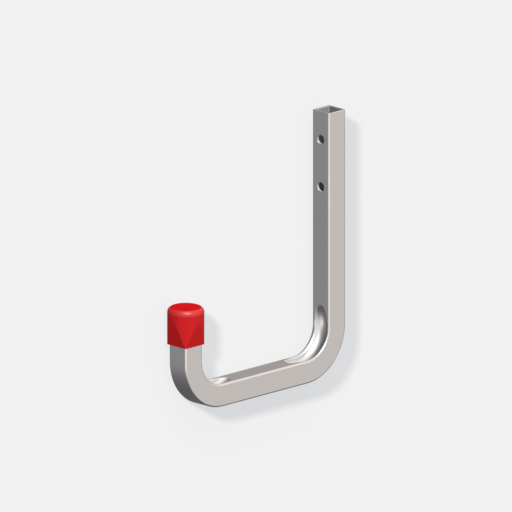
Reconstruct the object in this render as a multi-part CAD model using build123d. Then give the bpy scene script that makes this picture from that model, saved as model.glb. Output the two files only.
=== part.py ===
from build123d import *
from math import acos, degrees, sqrt
import os

# A garage utility hook: one square steel tube bent twice into a J, screwed to
# the wall through its long leg, with a push-on plastic cap on its short leg.
# Millimetres. The wall is the plane Y = 0, and the arm reaches along -Y.
# The origin is on the wall, midway between the two screw holes. +Z is up.

# The square tube, and the radii of its long corners
TUBE_SIDE = 15.0
TUBE_WALL = 1.5
TUBE_OUTSIDE_CORNER = 1.0
TUBE_INSIDE_CORNER = 0.5

# The hook's outline, over the tube's outside faces
HOOK_HEIGHT = 175.5
HOOK_REACH = 144.5
SHORT_LEG_HEIGHT = 67.5
BEND_INSIDE_RADIUS = 19.0

# The groove that the bending former presses into the inner wall of each bend
GROOVE_WIDTH = 12.8
GROOVE_DEPTH = 3.9

# The screw holes, through the front and back walls of the long leg
SCREW_HOLE_DIAMETER = 6.0
SCREW_HOLE_SPACING = 31.5
TOP_TO_SCREW_HOLE = 18.5

# The plastic cap: four flats lean out from a square foot and run out into a round body
CAP_HEIGHT = 25.0
CAP_ROOF = 2.7
CAP_FIT_CLEARANCE = 0.1
CAP_FOOT_WALL = 1.2
CAP_CORNER_WALL = 1.6
CAP_FLAT_RISE = 15.0
CAP_CROWN_RADIUS = 3.5
CAP_LEAD_IN = 0.4
CAP_GATE_MARK_DIAMETER = 4.0
CAP_GATE_MARK_DEPTH = 0.4

# Places along the hook, worked out from the sizes above
LEG_TOP = TOP_TO_SCREW_HOLE + SCREW_HOLE_SPACING / 2
UNDERSIDE = LEG_TOP - HOOK_HEIGHT
SHORT_LEG_TOP = UNDERSIDE + SHORT_LEG_HEIGHT
LONG_LEG_Y = -TUBE_SIDE / 2
SHORT_LEG_Y = -HOOK_REACH + TUBE_SIDE / 2
ARM_Z = UNDERSIDE + TUBE_SIDE / 2
BEND_AXIS_RADIUS = BEND_INSIDE_RADIUS + TUBE_SIDE / 2
BEND_CENTRE_Z = ARM_Z + BEND_AXIS_RADIUS
BACK_BEND_Y = LONG_LEG_Y - BEND_AXIS_RADIUS
FRONT_BEND_Y = SHORT_LEG_Y + BEND_AXIS_RADIUS

os.makedirs("parts", exist_ok=True)


def hook_sweep(side, corner_radius):
    """A rounded square carried down the long leg, along the arm and up the short leg."""
    route = FilletPolyline(
        (0, LONG_LEG_Y, LEG_TOP),
        (0, LONG_LEG_Y, ARM_Z),
        (0, SHORT_LEG_Y, ARM_Z),
        (0, SHORT_LEG_Y, SHORT_LEG_TOP),
        radius=BEND_AXIS_RADIUS,
    )
    start = Plane(origin=(0, LONG_LEG_Y, LEG_TOP), x_dir=(1, 0, 0), z_dir=(0, 0, -1))
    return sweep(start * RectangleRounded(side, side, corner_radius), path=route)


def groove_former(bend_y, outward, growth):
    """The raised rim of the bending former, a full turn about a bend's centre line.

    The rim's section is a round nose between two hollow shoulders, three arcs of one
    radius that meet in line, so the groove runs smoothly into the tube's face. Where
    the tube leaves the bend, the rim curves away from it, and the groove ends in a
    point. growth moves the section's outline into the tube, as the far side of a wall
    of that thickness lies. outward is the way from the bend's centre to the tube, and
    the turn starts opposite to it, in the open.
    """
    half_width = GROOVE_WIDTH / 2
    arc_radius = (half_width**2 + GROOVE_DEPTH**2) / (4 * GROOVE_DEPTH)
    arc_turn = degrees(acos(1 - GROOVE_DEPTH / (2 * arc_radius)))
    face = BEND_INSIDE_RADIUS + growth
    inside = BEND_INSIDE_RADIUS - TUBE_WALL
    with BuildLine() as outline:
        left = JernArc((-half_width, face), (1, 0), arc_radius - growth, arc_turn)
        nose = JernArc(left @ 1, left % 1, arc_radius + growth, -2 * arc_turn)
        right = JernArc(nose @ 1, nose % 1, arc_radius - growth, arc_turn)
        Polyline(right @ 1, (half_width, inside), (-half_width, inside), left @ 0)
    centre = Vector(0, bend_y, BEND_CENTRE_Z)
    across = Vector(1, 0, 0)
    section = Plane(origin=centre, x_dir=across, z_dir=across.cross(-outward))
    return revolve(section * make_face(outline.line), Axis(centre, across))


def bent_tube():
    """The J-shaped tube, with a groove pressed into each bend and two screw holes."""
    bends = (
        (BACK_BEND_Y, Vector(0, 1, -1).normalized()),
        (FRONT_BEND_Y, Vector(0, -1, -1).normalized()),
    )
    bore_side = TUBE_SIDE - 2 * TUBE_WALL
    tube = hook_sweep(TUBE_SIDE, TUBE_OUTSIDE_CORNER)
    bore = hook_sweep(bore_side, TUBE_INSIDE_CORNER)
    for bend_y, outward in bends:
        tube -= groove_former(bend_y, outward, 0)
        bore -= groove_former(bend_y, outward, TUBE_WALL)
    tube -= bore
    for hole_z in (SCREW_HOLE_SPACING / 2, -SCREW_HOLE_SPACING / 2):
        across_leg = Plane(origin=(0, 0, hole_z), z_dir=(0, -1, 0))
        tube -= across_leg * extrude(Circle(SCREW_HOLE_DIAMETER / 2), TUBE_SIDE)
    return tube


def end_cap():
    """The moulded cap, its socket over the short leg and its roof down on the tube's end."""
    socket_side = TUBE_SIDE + 2 * CAP_FIT_CLEARANCE
    socket_corner = TUBE_OUTSIDE_CORNER + CAP_FIT_CLEARANCE
    socket_half_diagonal = (socket_side / 2 - socket_corner) * sqrt(2) + socket_corner
    body_radius = socket_half_diagonal + CAP_CORNER_WALL
    foot_half = socket_side / 2 + CAP_FOOT_WALL
    flat_slope = (body_radius - foot_half) / CAP_FLAT_RISE
    top_half = foot_half + flat_slope * CAP_HEIGHT
    top_z = SHORT_LEG_TOP + CAP_ROOF
    foot_z = top_z - CAP_HEIGHT
    foot = Plane(origin=(0, SHORT_LEG_Y, foot_z))
    top = Plane(origin=(0, SHORT_LEG_Y, top_z))

    body = foot * extrude(Circle(body_radius), CAP_HEIGHT)
    body = fillet(body.edges().group_by(Axis.Z)[-1], CAP_CROWN_RADIUS)
    body &= loft([
        foot * Rectangle(2 * foot_half, 2 * foot_half),
        top * Rectangle(2 * top_half, 2 * top_half),
    ])

    # The socket, and the slope at its mouth that starts it over the tube
    socket = foot * extrude(
        RectangleRounded(socket_side, socket_side, socket_corner), SHORT_LEG_TOP - foot_z
    )
    mouth_side = socket_side + 2 * CAP_LEAD_IN
    mouth = RectangleRounded(mouth_side, mouth_side, socket_corner + CAP_LEAD_IN)
    body -= socket
    body -= loft([
        foot * mouth,
        foot.offset(CAP_LEAD_IN) * RectangleRounded(socket_side, socket_side, socket_corner),
    ])

    # The shallow round mark that the mould's gate leaves in the middle of the top
    gate_radius = CAP_GATE_MARK_DIAMETER / 2
    mark_radius = (gate_radius**2 + CAP_GATE_MARK_DEPTH**2) / (2 * CAP_GATE_MARK_DEPTH)
    body -= top.offset(mark_radius - CAP_GATE_MARK_DEPTH) * Sphere(mark_radius)
    return body


PARTS = {"bent_tube": bent_tube, "end_cap": end_cap}
for node, make in PARTS.items():
    export_step(make(), f"parts/{node}.step")
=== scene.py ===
import math

import bmesh
import bpy
import numpy as np
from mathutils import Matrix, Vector


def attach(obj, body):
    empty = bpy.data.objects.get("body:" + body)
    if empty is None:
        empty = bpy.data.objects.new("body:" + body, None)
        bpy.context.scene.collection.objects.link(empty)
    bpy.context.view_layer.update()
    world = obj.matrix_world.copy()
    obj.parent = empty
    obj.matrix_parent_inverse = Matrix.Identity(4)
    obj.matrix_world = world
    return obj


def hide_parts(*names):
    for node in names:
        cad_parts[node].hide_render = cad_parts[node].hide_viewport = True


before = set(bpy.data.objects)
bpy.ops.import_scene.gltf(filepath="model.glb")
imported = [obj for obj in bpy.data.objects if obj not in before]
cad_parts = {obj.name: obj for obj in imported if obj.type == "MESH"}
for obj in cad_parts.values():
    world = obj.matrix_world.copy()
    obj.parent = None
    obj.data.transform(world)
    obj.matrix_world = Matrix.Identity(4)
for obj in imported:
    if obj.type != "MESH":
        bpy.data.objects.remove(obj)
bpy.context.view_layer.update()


# The bent tube
# One length of square steel tube, cut square and bent twice over a rimmed former, whose rim
# pressed a groove into the inner wall of each bend. The screw holes were drilled through both
# walls of the long leg, and the whole tube was then bright zinc plated.

# Metres. The wall is the plane Y = 0, the arm reaches along -Y, and Z is up.
TUBE_SIDE = 0.015
TUBE_WALL = 0.0015
OUTSIDE_CORNER = 0.001
INSIDE_CORNER = 0.0005
LEG_TOP = 0.03425
UNDERSIDE = -0.14125
SHORT_LEG_TOP = -0.07375
HOOK_REACH = 0.1445
BEND_INSIDE_RADIUS = 0.019
GROOVE_WIDTH = 0.0128
GROOVE_DEPTH = 0.0039
GROOVE_SHOULDER_RADIUS = 0.0022
GROOVE_RIM_ROUNDING = 0.00035
HOLE_RADIUS = 0.003
HOLE_HEIGHTS = (0.01575, -0.01575)
CUT_EDGE_ROUNDING = 0.00018
# Below these depths from the open top the bore is drawn darker: thinner plating, and partly painted shade
# inside the tube.
PLATED_AND_SHADE_DEPTH = (0.005, 0.014)

# Colours, the drawn lines' scale along and round the tube, and where most of a noise lies
ZINC = (0.75, 0.74, 0.73, 1)
# The bore's grey is darker than the zinc outside: partly painted shade inside the tube.
BORE_PLATING_AND_SHADE = (0.40, 0.395, 0.39, 1)
DRAWN_LINES = (18, 4200, 1)
NOISE_SPAN = (0.3, 0.7)

BEND_RADIUS = BEND_INSIDE_RADIUS + TUBE_SIDE / 2
LONG_LEG = LEG_TOP - UNDERSIDE - TUBE_SIDE / 2 - BEND_RADIUS
ARM = HOOK_REACH - TUBE_SIDE - 2 * BEND_RADIUS
SHORT_LEG = SHORT_LEG_TOP - UNDERSIDE - TUBE_SIDE / 2 - BEND_RADIUS
BEND = BEND_RADIUS * math.pi / 2
STRETCHES = (LONG_LEG, BEND, ARM, BEND, SHORT_LEG)
STRETCH_STARTS = np.cumsum((0.0,) + STRETCHES)

# How finely the skins are divided, how far their close rows follow a groove's end, and where
# the rings round a hole lie, as shares of the way from its edge to its window
FACE_COLUMNS = (40, 4, 16, 4)
CORNER_COLUMNS = 6
WINDOW_ROWS = 16
WINDOW_HALF = 0.0065
GROOVE_RUN_OUT = 0.0145
SUPPORT = 0.00015
EDGE_STEPS = 3
HOLE_RING_SHARES = (1.0, 0.45, 0.2, 0.06, 0.0)


def route(s):
    """The tube's centre line at the distance s from its top, and the way to the inside of its bends.

    Down the long leg, round a quarter turn of BEND_RADIUS, along the arm, round a second
    quarter turn and up the short leg. Both are (Y, Z) pairs.
    """
    gone = [np.clip(s - start, 0, length) for start, length in zip(STRETCH_STARTS, STRETCHES)]
    first, second = gone[1] / BEND_RADIUS, gone[3] / BEND_RADIUS
    y = -TUBE_SIDE / 2 - BEND_RADIUS * (1 - np.cos(first) + np.sin(second)) - gone[2]
    z = LEG_TOP - gone[0] - BEND_RADIUS * (np.sin(first) - 1 + np.cos(second)) + gone[4]
    turned = first + second
    return np.stack([y, z], -1), np.stack([-np.cos(turned), np.sin(turned)], -1)


def rim_profile(x, passed):
    """How far the former's rim stands out, at x from its middle.

    A round nose between two hollow shoulders: three arcs that meet in line, so their radii
    add up to (half^2 + depth^2) / (2 depth). Under a wall of the thickness passed, the nose's
    radius is larger by it and the shoulders' smaller.
    """
    half = GROOVE_WIDTH / 2
    both = (half**2 + GROOVE_DEPTH**2) / (2 * GROOVE_DEPTH)
    turn = math.acos(1 - GROOVE_DEPTH / both)
    nose, shoulder = both - GROOVE_SHOULDER_RADIUS + passed, GROOVE_SHOULDER_RADIUS - passed
    out = np.abs(x)
    on_nose = GROOVE_DEPTH - nose + np.sqrt(np.maximum(nose**2 - out**2, 0))
    on_shoulder = shoulder - np.sqrt(shoulder**2 - np.clip(half - out, 0, shoulder) ** 2)
    return np.where(out < nose * math.sin(turn), on_nose, on_shoulder)


def groove_depth(s, x, passed):
    """How far the inner wall is pressed in, at s along the route and x across it.

    In a bend that is the rim's profile. At u past a bend's end the rim has curved away, and
    presses in by sqrt(reach^2 - u^2) less the radius of the face. Where it leaves the face
    the edge is rounded by a quadratic, whose width grows from nothing over the first u.
    """
    face = BEND_INSIDE_RADIUS + passed
    bends = [(STRETCH_STARTS[i], STRETCH_STARTS[i + 1]) for i in (1, 3)]
    past = np.min([np.maximum(np.maximum(start - s, s - end), 0) for start, end in bends], 0)
    reach = face + rim_profile(x, passed)
    pressed = np.sqrt(np.maximum(reach**2 - past**2, 0)) - face
    rounding = GROOVE_RIM_ROUNDING * np.clip(past / (10 * GROOVE_RIM_ROUNDING), 1e-6, 1)
    return np.maximum(pressed, 0) + np.maximum(rounding - np.abs(pressed), 0) ** 2 / (4 * rounding)


def square_section(side, corner, grown):
    """A square with round corners, offset outwards by grown: x, height, and length gone round.

    Four times a face and a quarter circle, the first face being the one towards the inside
    of the bends. Each face has a column of its own close to each end, and the last point is
    the first again.
    """
    flat = side / 2 - corner
    quarter = np.linspace(0, np.pi / 2, CORNER_COLUMNS + 1)[1:-1]
    x, height = [], []
    for turn, columns in enumerate(FACE_COLUMNS):
        inner = np.linspace(SUPPORT - flat, flat - SUPPORT, columns + 1)
        along = np.r_[-flat, inner, flat, flat + (corner + grown) * np.sin(quarter)]
        out = np.r_[np.full(columns + 3, side / 2 + grown), flat + (corner + grown) * np.cos(quarter)]
        cosine, sine = round(math.cos(turn * math.pi / 2)), round(math.sin(turn * math.pi / 2))
        x.append(along * cosine + out * sine)
        height.append(out * cosine - along * sine)
    x, height = [np.append(np.concatenate(part), part[0][0]) for part in (x, height)]
    return x, height, np.r_[0, np.cumsum(np.hypot(np.diff(x), np.diff(height)))]


def skin_points(s, wall, grown=0.0):
    """The section carried along the route to every s, pressed in by the grooves.

    wall is (side, corner, passed). A point at height h towards the inside of the bends stands
    h from the centre line, or on the pressed face where that is nearer to the line.
    """
    side, corner, passed = wall
    x, height, _ = square_section(side, corner, grown)
    centre, inside = route(s)
    s_grid, x_grid = np.meshgrid(s, x, indexing="ij")
    face = side / 2 + grown - groove_depth(s_grid, x_grid, passed)
    place = centre[:, None] + np.minimum(height, face)[..., None] * inside[:, None]
    return np.concatenate([x_grid[..., None], place], -1)


def skin_rows():
    """Distances along the route of a skin's rows, and the first row of each screw hole's window.

    They are close in the bends, along the ends of the grooves and beside the screw holes.
    """
    middles = [LEG_TOP - height for height in HOLE_HEIGHTS]
    first_bend, arm, second_bend, short_leg, end = STRETCH_STARTS[1:]
    stops = [
        (CUT_EDGE_ROUNDING, 0),
        (CUT_EDGE_ROUNDING + SUPPORT, 1),
        (middles[0] - WINDOW_HALF, 3),
        (middles[0] + WINDOW_HALF, WINDOW_ROWS),
        (middles[1] - WINDOW_HALF, 4),
        (middles[1] + WINDOW_HALF, WINDOW_ROWS),
        (first_bend - GROOVE_RUN_OUT, 8),
        (first_bend, 32),
        (arm, 60),
        (arm + GROOVE_RUN_OUT, 32),
        (second_bend - GROOVE_RUN_OUT, 6),
        (second_bend, 32),
        (short_leg, 60),
        (short_leg + GROOVE_RUN_OUT, 32),
        (end - CUT_EDGE_ROUNDING - SUPPORT, 3),
        (end - CUT_EDGE_ROUNDING, 1),
    ]
    rows = [np.linspace(a[0], b[0], b[1] + 1)[1:] for a, b in zip(stops, stops[1:])]
    counts = np.cumsum([count for _, count in stops])
    return np.concatenate([[stops[0][0]], *rows]), counts[[2, 4]]


def round_edge():
    """A quarter circle between two faces: what is left to go in, and how far it has gone on."""
    angle = np.linspace(0, np.pi / 2, EDGE_STEPS + 1)
    return CUT_EDGE_ROUNDING * (1 - np.sin(angle)), CUT_EDGE_ROUNDING * (1 - np.cos(angle))


def cut_end(end, away, walls):
    """A square-cut end of the tube: over the outer edge, across the wall and over the inner edge."""
    short, drawn_in = round_edge()
    over = [skin_points(np.array([end - away * a]), walls[0], -b)[0] for a, b in zip(short, drawn_in)]
    back = [skin_points(np.array([end - away * a]), walls[1], b)[0] for a, b in zip(short, drawn_in)]
    return np.array(over + back[::-1])


def window(grid, row, column, columns):
    """The points round a window in a skin, in order, the last being the first again."""
    last_row, last_column = row + WINDOW_ROWS, column + columns
    return np.concatenate([
        grid[row, column:last_column],
        grid[row:last_row, last_column],
        grid[last_row, last_column:column:-1],
        grid[last_row:row:-1, column],
        grid[row, column][None],
    ])


def screw_hole(outer, inner, height):
    """A hole through one wall, from a window in the outer skin to one in the inner skin.

    A point moves from its window straight towards the hole's centre line, goes over the edge
    by a quarter circle and through the wall along Y.
    """
    short, drawn_in = round_edge()
    rings = []
    for loop, other in ((outer, inner), (inner, outer)):
        centre = np.array([0.0, loop[0, 1], height])
        through = np.array([0.0, np.sign(other[0, 1] - loop[0, 1]), 0.0])
        ray = loop - centre
        radius = np.linalg.norm(ray, axis=1)[:, None]
        ray = ray / radius
        edge = HOLE_RADIUS + CUT_EDGE_ROUNDING
        shares = np.array(HOLE_RING_SHARES)[:, None, None]
        face = centre + ray * (edge + shares * (radius - edge))
        rounded = centre + ray * (HOLE_RADIUS + short[1:, None, None])
        rounded = rounded + through * drawn_in[1:, None, None]
        rings.append(np.concatenate([face, rounded]))
    return np.concatenate([rings[0], rings[1][::-1]])


def grid_patch(points, along, around, left_out=None):
    """A grid as a patch: its points, its four-sided faces, and each face corner's two lengths."""
    rows, columns = points.shape[:2]
    numbers = np.arange(rows * columns).reshape(rows, columns)
    lengths = np.stack(np.broadcast_arrays(along, around), -1)
    corners = [(slice(0, -1), slice(0, -1)), (slice(0, -1), slice(1, None))]
    corners += [(slice(1, None), slice(1, None)), (slice(1, None), slice(0, -1))]
    kept = np.ones((rows - 1, columns - 1), bool) if left_out is None else ~left_out
    faces = np.stack([numbers[corner] for corner in corners], -1)[kept]
    return points.reshape(-1, 3), faces, np.stack([lengths[corner] for corner in corners], -2)[kept]


def welded(name, patches, finishes):
    """One mesh of several patches, whose shared edges are merged and whose faces look outwards.

    finishes has the number of each patch's material, or an array with one for each face.
    """
    firsts = np.cumsum([0] + [len(points) for points, _, _ in patches])
    points = np.concatenate([points for points, _, _ in patches])
    faces = np.concatenate([faces + first for (_, faces, _), first in zip(patches, firsts)])
    mesh = bpy.data.meshes.new(name)
    mesh.from_pydata(points.tolist(), [], faces.tolist())
    lengths = np.concatenate([lengths for _, _, lengths in patches])
    mesh.uv_layers.new(name="lengths").data.foreach_set("uv", lengths.ravel())
    mesh.polygons.foreach_set("use_smooth", np.ones(len(faces), bool))
    numbers = [np.broadcast_to(number, len(patch[1])) for number, patch in zip(finishes, patches)]
    mesh.polygons.foreach_set("material_index", np.concatenate(numbers).astype(np.int32))
    work = bmesh.new()
    work.from_mesh(mesh)
    bmesh.ops.remove_doubles(work, verts=work.verts, dist=1e-7)
    loose = [vert for vert in work.verts if not vert.link_faces]
    bmesh.ops.delete(work, geom=loose, context="VERTS")
    bmesh.ops.recalc_face_normals(work, faces=work.faces)
    work.to_mesh(mesh)
    work.free()
    return mesh


def bent_tube():
    """The outer skin and the bore's skin, joined over the cut ends and through the four holes.

    The finishes are 0 for the outer skin and its edges, 1 for the bore, and 2 for a hole's
    wall and the edge that it has in the bore.
    """
    bore = TUBE_SIDE - 2 * TUBE_WALL
    walls = ((TUBE_SIDE, OUTSIDE_CORNER, 0.0), (bore, INSIDE_CORNER, TUBE_WALL))
    s, window_rows = skin_rows()
    grids = [skin_points(s, wall) for wall in walls]
    rounds = [square_section(side, corner, 0.0)[2] for side, corner, _ in walls]
    left_out = np.zeros((s.size - 1, rounds[0].size - 1), bool)
    face_starts = np.cumsum([1] + [columns + 2 + CORNER_COLUMNS for columns in FACE_COLUMNS])
    patches, finishes = [], []
    for face in (0, 2):
        column, columns = face_starts[face], FACE_COLUMNS[face]
        for row, height in zip(window_rows, HOLE_HEIGHTS):
            left_out[row:row + WINDOW_ROWS, column:column + columns] = True
            hole = screw_hole(*[window(grid, row, column, columns) for grid in grids], height)
            turn = np.linspace(0, 2 * math.pi * HOLE_RADIUS, hole.shape[1])
            patches.append(grid_patch(hole, np.linspace(0, TUBE_WALL, len(hole))[:, None], turn))
            ring = np.arange(len(hole) - 1)
            rings_on_face = len(HOLE_RING_SHARES) - 1
            in_bore = ring >= len(ring) - rings_on_face
            in_hole = (ring >= rings_on_face + EDGE_STEPS) & ~in_bore
            finishes.append(np.repeat(2 * in_hole + in_bore, hole.shape[1] - 1))
    for grid, gone_round, finish in zip(grids, rounds, (0, 1)):
        patches.append(grid_patch(grid, s[:, None], gone_round, left_out))
        finishes.append(finish)
    for end, away in ((0.0, -1.0), (STRETCH_STARTS[-1], 1.0)):
        rings = cut_end(end, away, walls)
        patches.append(grid_patch(rings, np.linspace(0, TUBE_WALL, len(rings))[:, None], rounds[0]))
        finishes.append(0)
    return welded("bent_tube_skin", patches, finishes)


def node_maker(tree):
    """A short way to add a node to a tree, with its settings and its inputs, linked or set."""

    def node(kind, inputs=(), **settings):
        new = tree.nodes.new(kind)
        for key, value in settings.items():
            setattr(new, key, value)
        for key, value in dict(inputs).items():
            if isinstance(value, bpy.types.NodeSocket):
                tree.links.new(value, new.inputs[key])
            else:
                new.inputs[key].default_value = value
        return new

    return node


def material(name):
    """A new material with one Principled shader, and a short way to add nodes to it."""
    made = bpy.data.materials.new(name)
    made.use_nodes = True
    tree = made.node_tree
    return made, tree.nodes["Principled BSDF"], node_maker(tree), tree.links


def noise(node, place, scale, detail):
    """A noise's value at a place."""
    inputs = {"Vector": place, "Scale": scale, "Detail": detail}
    return node("ShaderNodeTexNoise", inputs).outputs["Fac"]


def spread(node, value, low, high):
    """The usual span of a noise, spread from low to high."""
    span = {"From Min": NOISE_SPAN[0], "From Max": NOISE_SPAN[1], "To Min": low, "To Max": high}
    return node("ShaderNodeMapRange", {"Value": value, **span}).outputs["Result"]


def zinc_plating():
    """Bright zinc on drawn steel: a smooth satin, with faint lines along the tube and a faint bloom."""
    made, shader, node, links = material("zinc_plated_steel")
    shader.inputs["Base Color"].default_value = ZINC
    shader.inputs["Metallic"].default_value = 1.0
    lengths = node("ShaderNodeUVMap", uv_map="lengths").outputs["UV"]
    drawn = node("ShaderNodeMapping", {"Vector": lengths, "Scale": DRAWN_LINES}).outputs["Vector"]
    lines = noise(node, drawn, scale=1.0, detail=3.0)
    place = node("ShaderNodeTexCoord").outputs["Object"]
    bloom = noise(node, place, scale=90.0, detail=4.0)
    both = node(
        "ShaderNodeMix", {"Factor": 0.4, "A": bloom, "B": lines}, data_type="FLOAT"
    ).outputs["Result"]
    links.new(spread(node, both, low=0.19, high=0.25), shader.inputs["Roughness"])
    bump = node("ShaderNodeBump", {"Height": lines, "Strength": 0.15, "Distance": 2e-6}).outputs["Normal"]
    links.new(bump, shader.inputs["Normal"])
    return made


def clouded(node, darkest, lightest):
    """A slightly clouded grey on Object coordinates, and the cloud's own value."""
    place = node("ShaderNodeTexCoord").outputs["Object"]
    cloud = noise(node, place, scale=160.0, detail=4.0)
    greys = node("ShaderNodeValToRGB", {"Fac": cloud})
    for stop, position, grey in zip(greys.color_ramp.elements, NOISE_SPAN, (darkest, lightest)):
        stop.position = position
        stop.color = (grey, grey, grey, 1)
    return greys.outputs["Color"], cloud


def zinc_in_the_holes():
    """The drilled walls of the screw holes, where the plating is thin: a dull pale grey."""
    made, shader, node, links = material("thin_zinc_in_the_holes")
    shader.inputs["Specular IOR Level"].default_value = 0.1
    shader.inputs["Roughness"].default_value = 0.56
    grey, _ = clouded(node, darkest=0.47, lightest=0.53)
    links.new(grey, shader.inputs["Base Color"])
    return made


def bore_zinc_and_painted_shade():
    """The plating is full down to the first of the two depths, and below the second it is dull steel. The
    greys are darker than the zinc outside, and darker still further down: partly painted shade inside the
    tube.
    """
    made, shader, node, links = material("thin_bore_zinc_and_painted_shade")
    shader.inputs["Specular IOR Level"].default_value = 0.1
    place = node("ShaderNodeTexCoord").outputs["Object"]
    height = node("ShaderNodeSeparateXYZ", {"Vector": place}).outputs["Z"]
    fade = {"From Min": LEG_TOP - PLATED_AND_SHADE_DEPTH[1], "From Max": LEG_TOP - PLATED_AND_SHADE_DEPTH[0]}
    # Near the open top the bore is plated metal, and further down it fades to the dark grey: painted
    # shade deepening into the tube, on duller steel.
    plated = node(
        "ShaderNodeMapRange", {"Value": height, **fade}, interpolation_type="SMOOTHSTEP"
    ).outputs["Result"]
    links.new(plated, shader.inputs["Metallic"])
    # This dark grey deep in the bore is partly painted shade.
    grey, cloud = clouded(node, darkest=0.19, lightest=0.24)
    colour = node("ShaderNodeMix", {"Factor": plated, "A": grey, "B": BORE_PLATING_AND_SHADE}, data_type="RGBA")
    links.new(colour.outputs["Result"], shader.inputs["Base Color"])
    links.new(spread(node, cloud, low=0.34, high=0.42), shader.inputs["Roughness"])
    return made


tube = bpy.data.objects.new("bent_tube_skin", bent_tube())
for finish in (zinc_plating(), bore_zinc_and_painted_shade(), zinc_in_the_holes()):
    tube.data.materials.append(finish)
tube.visible_glossy = False  # its own mirror image would draw thin lines through the grooves
bpy.context.scene.collection.objects.link(tube)
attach(tube, "root")
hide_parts("bent_tube")


# The end cap
# A hollow cap moulded in red plastic and pushed over the short leg. Its body is round, four
# flats lean in to a square foot, and they leave a V-shaped field of the round on each corner.

CAP_HEIGHT = 0.025
CAP_ROOF = 0.0027
CAP_BODY_RADIUS = 0.0118921
CAP_FOOT_HALF = 0.0088
CAP_FLAT_RISE = 0.015
CAP_CROWN_RADIUS = 0.0035
CAP_ARRIS = 0.00025
CAP_SOCKET_SIDE = 0.0152
CAP_SOCKET_CORNER = 0.0011
CAP_LEAD_IN = 0.0004
GATE_MARK_RADIUS = 0.002
GATE_MARK_DEPTH = 0.0004
RED = (0.47, 0.0071, 0.0086, 1)

# How finely the cap is divided, and how many rows of its crown are matt as its top is
CAP_COLUMNS = 288
GATE_MARK_ROWS = 6
TOP_ROWS = 7
CROWN_ROWS = 16
CROWN_MATT_ROWS = 4
BODY_ROWS = 79


def cap_outline(height, round_radius, angle):
    """The cap's radius at a height above its foot: the lesser of its round and its leaning flats.

    A flat stands at f = foot + lean * height from the axis, which is f / cos(a) at the angle a
    from the flat's middle. Where flat and round meet, the lesser of the two is rounded by a
    quadratic as wide as the arris.
    """
    lean = (CAP_BODY_RADIUS - CAP_FOOT_HALF) / CAP_FLAT_RISE
    from_middle = (angle + np.pi / 4) % (np.pi / 2) - np.pi / 4
    flat = (CAP_FOOT_HALF + lean * height) / np.cos(from_middle)
    apart = np.abs(flat - round_radius)
    return np.minimum(flat, round_radius) - np.maximum(CAP_ARRIS - apart, 0) ** 2 / (4 * CAP_ARRIS)


def socket_outline(grown, angle):
    """The socket's radius, a square with round corners: out to a side, or out to a corner's circle."""
    half, corner = CAP_SOCKET_SIDE / 2 + grown, CAP_SOCKET_CORNER + grown
    centre = half - corner
    turned = (angle + np.pi / 4) % (np.pi / 2) - np.pi / 4
    to_side = half / np.cos(turned)
    along = centre * (np.cos(turned) + np.abs(np.sin(turned)))
    to_corner = along + np.sqrt(np.maximum(corner**2 - 2 * centre**2 + along**2, 0))
    return np.where(half * np.abs(np.tan(turned)) < centre, to_side, to_corner)


def end_cap():
    """Rings from the middle of the top, over the crown, down the outside and up the socket.

    The finishes are 1 for the top and the upper rows of the crown, 2 for the rest of the
    crown, and 0 for the body and the socket.
    """
    angle = np.linspace(0, 2 * np.pi, CAP_COLUMNS + 1)
    crown_start = CAP_HEIGHT - CAP_CROWN_RADIUS
    sphere = (GATE_MARK_RADIUS**2 + GATE_MARK_DEPTH**2) / (2 * GATE_MARK_DEPTH)
    rings = []
    for radius in np.linspace(0, GATE_MARK_RADIUS, GATE_MARK_ROWS + 1):
        sunk = np.sqrt(sphere**2 - radius**2) - (sphere - GATE_MARK_DEPTH)
        rings.append((radius + 0 * angle, CAP_HEIGHT - sunk))
    for radius in np.linspace(GATE_MARK_RADIUS, CAP_BODY_RADIUS - CAP_CROWN_RADIUS, TOP_ROWS + 1)[1:]:
        rings.append((radius + 0 * angle, CAP_HEIGHT))
    matt_rows = len(rings) + CROWN_MATT_ROWS
    for turn in np.linspace(np.pi / 2, 0, CROWN_ROWS + 1)[1:]:
        height = crown_start + CAP_CROWN_RADIUS * np.sin(turn)
        reach = CAP_BODY_RADIUS - CAP_CROWN_RADIUS * (1 - np.cos(turn))
        rings.append((cap_outline(height, reach, angle), height))
    crown_rows = len(rings)
    foot_edge = CUT_EDGE_ROUNDING
    for height in np.linspace(crown_start, foot_edge, BODY_ROWS + 1)[1:]:
        rings.append((cap_outline(height, CAP_BODY_RADIUS, angle), height))
    for turn in np.linspace(0, np.pi / 2, EDGE_STEPS + 1)[1:]:
        drawn_in = foot_edge * (1 - np.cos(turn))
        rings.append((cap_outline(0, CAP_BODY_RADIUS, angle) - drawn_in, foot_edge * (1 - np.sin(turn))))
    roof_height = CAP_HEIGHT - CAP_ROOF
    rings.append((socket_outline(CAP_LEAD_IN, angle), 0.0))
    rings.append((socket_outline(0.0, angle), CAP_LEAD_IN))
    rings.append((socket_outline(0.0, angle), roof_height))
    rings.append((0 * angle, roof_height))

    radius = np.array([radius for radius, _ in rings])
    height = np.array([height for _, height in rings])
    middle_y = TUBE_SIDE / 2 - HOOK_REACH
    foot_z = SHORT_LEG_TOP + CAP_ROOF - CAP_HEIGHT
    points = np.stack([
        radius * np.cos(angle),
        middle_y + radius * np.sin(angle),
        np.broadcast_to(foot_z + height[:, None], radius.shape),
    ], -1)
    gone = np.r_[0, np.cumsum(np.hypot(np.diff(radius[:, 0]), np.diff(height)))]
    row = np.arange(len(rings) - 1)
    finish = np.repeat(np.where(row < matt_rows, 1, np.where(row < crown_rows, 2, 0)), CAP_COLUMNS)
    return welded("end_cap_skin", [grid_patch(points, gone[:, None], CAP_BODY_RADIUS * angle)], [finish])


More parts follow.
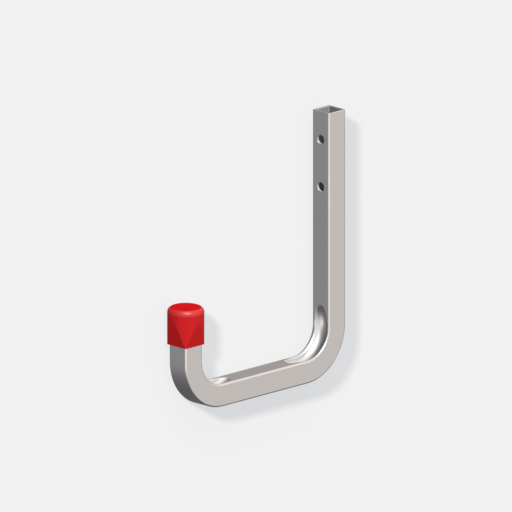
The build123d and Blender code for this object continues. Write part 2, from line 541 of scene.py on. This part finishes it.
def red_plastic(name, gloss, smoothest, roughest):
    """Moulded plastic, coloured through: a soft gloss with the mould's very fine grain."""
    made, shader, node, links = material(name)
    shader.inputs["Base Color"].default_value = RED
    shader.inputs["Specular IOR Level"].default_value = gloss
    place = node("ShaderNodeTexCoord").outputs["Object"]
    grain = noise(node, place, scale=2600.0, detail=2.0)
    links.new(spread(node, grain, smoothest, roughest), shader.inputs["Roughness"])
    bump = node("ShaderNodeBump", {"Height": grain, "Strength": 0.1, "Distance": 1e-5}).outputs["Normal"]
    links.new(bump, shader.inputs["Normal"])
    return made


cap = bpy.data.objects.new("end_cap_skin", end_cap())
for finish in (
    red_plastic("red_plastic", gloss=0.14, smoothest=0.28, roughest=0.33),
    red_plastic("matt_red_plastic_on_top", gloss=0.0, smoothest=0.55, roughest=0.62),
    red_plastic("glossy_red_plastic_on_the_crown", gloss=0.6, smoothest=0.35, roughest=0.40),
):
    cap.data.materials.append(finish)
cap.visible_glossy = False  # the plating under the cap stays grey
bpy.context.scene.collection.objects.link(cap)
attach(cap, "root")
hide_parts("end_cap")


# The studio
# A pale floor well below the hook, a pale card close behind it that takes its soft shadow from
# a lamp of its own, soft lights all round, and a parallel camera at the photo's angle.

CAMERA_AZIMUTH = math.radians(45.04)
CAMERA_ELEVATION = math.radians(15.63)
PICTURE_MIDDLE = (0.0, -0.0735, -0.0501)
PICTURE_WIDTH = 0.32753

back = Vector((
    math.sin(CAMERA_AZIMUTH) * math.cos(CAMERA_ELEVATION),
    -math.cos(CAMERA_AZIMUTH) * math.cos(CAMERA_ELEVATION),
    math.sin(CAMERA_ELEVATION),
))
lens = bpy.data.cameras.new("camera")
lens.type = "ORTHO"
lens.ortho_scale = PICTURE_WIDTH
camera = bpy.data.objects.new("camera", lens)
camera.location = Vector(PICTURE_MIDDLE) + back
camera.rotation_euler = (-back).to_track_quat("-Z", "Y").to_euler()
bpy.context.scene.collection.objects.link(camera)
bpy.context.scene.camera = camera
bpy.context.scene.view_settings.view_transform = "Standard"

# Soft lights round the hook: the way towards each, how narrow it is, how strong, and its colour
SOFT_LIGHTS = {
    "front_box": ((0.57, -0.34, 0.745), 95, 17.0, (1.0, 1.02, 1.0)),
    "overhead_sheet": ((0.41, -0.31, 0.86), 6.3, 1.16, (1.0, 1.03, 1.02)),
    "back_sheet": ((-0.10, 0.72, 0.68), 9, 0.98, (1.0, 0.91, 0.87)),
    "back_right_card": ((0.76, 0.64, 0.06), 25, 1.16, (1.0, 0.95, 0.905)),
    "right_card": ((0.97, -0.05, -0.23), 30, 1.30, (1.0, 0.94, 0.88)),
    "front_card": ((0.66, -0.62, 0.42), 16, 0.70, (1.0, 1.0, 0.98)),
    "low_right_card": ((0.62, -0.74, -0.23), 30, 0.60, (1.0, 0.98, 0.96)),
    "low_front_card": ((0.10, -0.95, -0.30), 45, 1.00, (1.0, 0.98, 0.95)),
    "left_card": ((-0.58, -0.78, -0.22), 16, 0.20, (1.0, 1.02, 1.06)),
}
ROOM_LIGHT = (0.125, 0.121, 0.126)
SEEN_BEHIND = (0.80, 0.80, 0.795, 1)


def studio_world():
    """The room's even light and the soft lights, behind which the camera sees a plain pale wall.

    A soft light at the angle a from its middle is ((1 + cos a) / 2) ** narrowness.
    """
    world = bpy.data.worlds.new("studio")
    world.use_nodes = True
    node = node_maker(world.node_tree)
    sky = node("ShaderNodeTexCoord").outputs["Generated"]

    total = ROOM_LIGHT
    for name, (towards, narrowness, strength, colour) in SOFT_LIGHTS.items():
        ways = {0: sky, 1: Vector(towards).normalized()}
        cosine = node("ShaderNodeVectorMath", ways, operation="DOT_PRODUCT").outputs["Value"]
        half = node("ShaderNodeMath", {0: cosine, 1: 0.5, 2: 0.5}, operation="MULTIPLY_ADD").outputs[0]
        share = node("ShaderNodeMath", {0: half, 1: narrowness}, operation="POWER").outputs[0]
        full = {0: [strength * part for part in colour], "Scale": share}
        light = node("ShaderNodeVectorMath", full, operation="SCALE", name=name).outputs[0]
        total = node("ShaderNodeVectorMath", {0: total, 1: light}, operation="ADD").outputs[0]
    by_camera = node("ShaderNodeLightPath").outputs["Is Camera Ray"]
    seen = node("ShaderNodeMix", {"Factor": by_camera, "A": total, "B": SEEN_BEHIND}, data_type="RGBA")
    background = world.node_tree.nodes["Background"].inputs["Color"]
    world.node_tree.links.new(seen.outputs["Result"], background)
    return world


bpy.context.scene.world = studio_world()

# The floor and the card, and the lamp that lights the card alone
FLOOR_HEIGHT = -0.6
FLOOR_HALF = 25.0
FLOOR_COLOUR = (0.60, 0.60, 0.60, 1)
CARD_X = -0.014
CARD_HALF = 0.8
CARD_COLOUR = (0.05, 0.05, 0.05, 1)
CARD_GLOW = (0.651, 0.661, 0.679, 1)
SUN_TOWARDS = (0.471, -0.755, 0.457)
SUN_STRENGTH = 22.5
SUN_COLOUR = (1.0, 0.94, 0.85)
SUN_DISC = math.radians(6)


def backdrop(name, corners, colour, glow, one_sided):
    """A plain matt sheet, which is seen and takes shadows but throws no light on the hook.

    glow is the even part of its brightness, which the camera alone sees.
    """
    mesh = bpy.data.meshes.new(name)
    mesh.from_pydata(corners, [], [(0, 1, 2, 3)])
    made, shader, node, links = material(name)
    shader.inputs["Base Color"].default_value = colour
    shader.inputs["Roughness"].default_value = 0.9
    shader.inputs["Specular IOR Level"].default_value = 0.0
    shader.inputs["Emission Color"].default_value = glow
    links.new(node("ShaderNodeLightPath").outputs["Is Camera Ray"], shader.inputs["Emission Strength"])
    if one_sided:
        behind = node("ShaderNodeNewGeometry").outputs["Backfacing"]
        clear = node("ShaderNodeBsdfTransparent").outputs["BSDF"]
        either = node("ShaderNodeMixShader", {0: behind, 1: shader.outputs["BSDF"], 2: clear})
        links.new(either.outputs["Shader"], made.node_tree.nodes["Material Output"].inputs["Surface"])
    mesh.materials.append(made)
    sheet = bpy.data.objects.new(name, mesh)
    sheet.visible_diffuse = sheet.visible_glossy = sheet.visible_shadow = False
    bpy.context.scene.collection.objects.link(sheet)
    return sheet


floor = backdrop("floor", [
    (-FLOOR_HALF, -FLOOR_HALF, FLOOR_HEIGHT),
    (FLOOR_HALF, -FLOOR_HALF, FLOOR_HEIGHT),
    (FLOOR_HALF, FLOOR_HALF, FLOOR_HEIGHT),
    (-FLOOR_HALF, FLOOR_HALF, FLOOR_HEIGHT),
], FLOOR_COLOUR, (0, 0, 0, 1), False)
card = backdrop("card", [
    (CARD_X, -CARD_HALF, -CARD_HALF),
    (CARD_X, CARD_HALF, -CARD_HALF),
    (CARD_X, CARD_HALF, CARD_HALF),
    (CARD_X, -CARD_HALF, CARD_HALF),
], CARD_COLOUR, CARD_GLOW, True)

lamp = bpy.data.lights.new("card_lamp", "SUN")
lamp.energy, lamp.color, lamp.angle = SUN_STRENGTH, SUN_COLOUR, SUN_DISC
card_lamp = bpy.data.objects.new("card_lamp", lamp)
card_lamp.rotation_euler = Vector(SUN_TOWARDS).to_track_quat("Z", "Y").to_euler()
bpy.context.scene.collection.objects.link(card_lamp)
lit = bpy.data.collections.new("lit_by_card_lamp")
lit.objects.link(card)
card_lamp.light_linking.receiver_collection = lit
